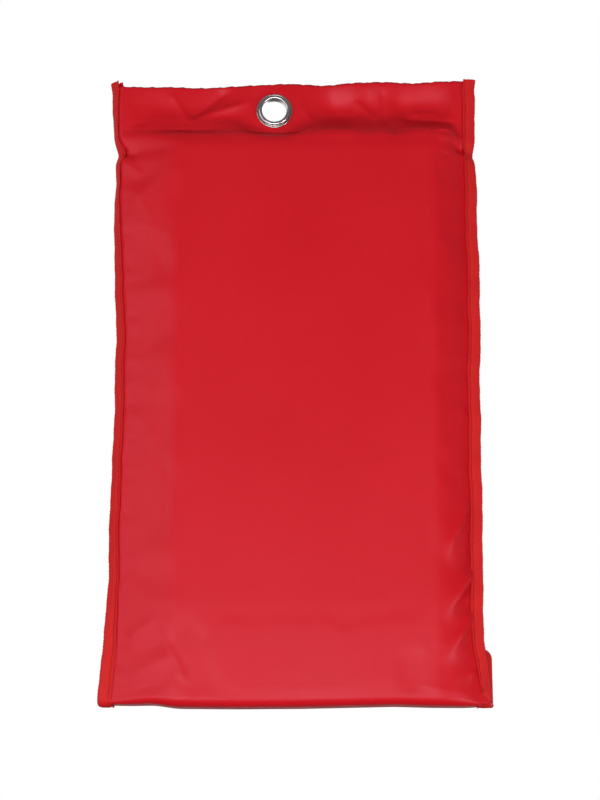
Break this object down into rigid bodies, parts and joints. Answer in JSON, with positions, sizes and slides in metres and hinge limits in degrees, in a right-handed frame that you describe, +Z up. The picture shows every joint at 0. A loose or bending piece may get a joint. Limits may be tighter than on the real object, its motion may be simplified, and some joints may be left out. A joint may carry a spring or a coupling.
{
  "type": "fire blanket in soft wall pouch",
  "caption": "Soft red wall pouch with a steel eyelet, taped edges and a hook-and-loop bottom flap, holding a folded white glass-fibre blanket with two black pull tabs.",
  "frame": {"origin": "centre of the eyelet's hole, which hangs on a hook", "axes": "+Z up along the pouch's height, +X along its width, +Y out of the side with the closing flap and pull tabs; the plain wall side faces -Y"},
  "size_m": [0.19, 0.0271, 0.3232],
  "materials": {
    "coated_cloth": "satin",
    "binding_tape": "matte",
    "red_thread": "satin",
    "white_thread": "satin",
    "eyelet_steel": "polished",
    "loop_pile": "matte",
    "hook_tape": "matte",
    "glass_cloth": "satin",
    "webbing": "matte"
  },
  "bodies": {
    "pouch": {"back_panel": "coated_cloth", "front_panel": "coated_cloth", "left_binding_tape": "binding_tape", "right_binding_tape": "binding_tape", "mouth_tape": "binding_tape", "eyelet_barrel": "eyelet_steel", "eyelet_washer": "eyelet_steel", "loop_patch": "loop_pile", "header_stitching": "red_thread", "left_binding_stitching": "red_thread", "right_binding_stitching": "red_thread", "mouth_stitching": "red_thread", "loop_stitching": "red_thread"},
    "gusset": {"gusset_panel": "coated_cloth", "left_gusset_tape": "binding_tape", "right_gusset_tape": "binding_tape"},
    "flap": {"closing_flap": "coated_cloth", "left_flap_tape": "binding_tape", "right_flap_tape": "binding_tape", "hook_patch": "hook_tape", "left_flap_stitching": "red_thread", "right_flap_stitching": "red_thread", "hook_stitching": "red_thread"},
    "blanket": {"folded_blanket": "glass_cloth", "left_tab_root": "webbing", "right_tab_root": "webbing", "left_tab_stitching": "white_thread", "right_tab_stitching": "white_thread"},
    "left_tab": {"left_pull_tab": "webbing"},
    "right_tab": {"right_pull_tab": "webbing"}
  },
  "joints": [
    {"name": "blanket_slide", "type": "slide", "parent": "pouch", "child": "blanket", "axis": [0, 0, -1], "range_m": [0, 0.3]},
    {"name": "gusset_fold", "type": "hinge", "parent": "pouch", "child": "gusset", "pos_m": [0.0098, -0.0094, -0.3054], "axis": [-1, 0, 0], "range_deg": [0, 90], "deforming": ["gusset_panel", "left_gusset_tape", "right_gusset_tape"]},
    {"name": "flap_fold", "type": "hinge", "parent": "gusset", "child": "flap", "pos_m": [0.0098, 0.0155, -0.3054], "axis": [-1, 0, 0], "range_deg": [0, 90], "deforming": ["closing_flap", "left_flap_tape", "right_flap_tape", "hook_patch", "left_flap_stitching", "right_flap_stitching", "hook_stitching"]},
    {"name": "left_tab_fold", "type": "hinge", "parent": "blanket", "child": "left_tab", "pos_m": [-0.0347, 0.014, -0.3034], "axis": [-1, 0, 0], "range_deg": [0, 180]},
    {"name": "right_tab_fold", "type": "hinge", "parent": "blanket", "child": "right_tab", "pos_m": [0.0693, 0.014, -0.3034], "axis": [-1, 0, 0], "range_deg": [0, 180]}
  ],
  "couplings": [
    {"joint": "gusset_fold", "follows": "blanket_slide", "rad_per_m": 5.22},
    {"joint": "flap_fold", "follows": "blanket_slide", "rad_per_m": 5.22},
    {"joint": "left_tab_fold", "follows": "blanket_slide", "rad_per_m": 10.44},
    {"joint": "right_tab_fold", "follows": "blanket_slide", "rad_per_m": 10.44}
  ]
}
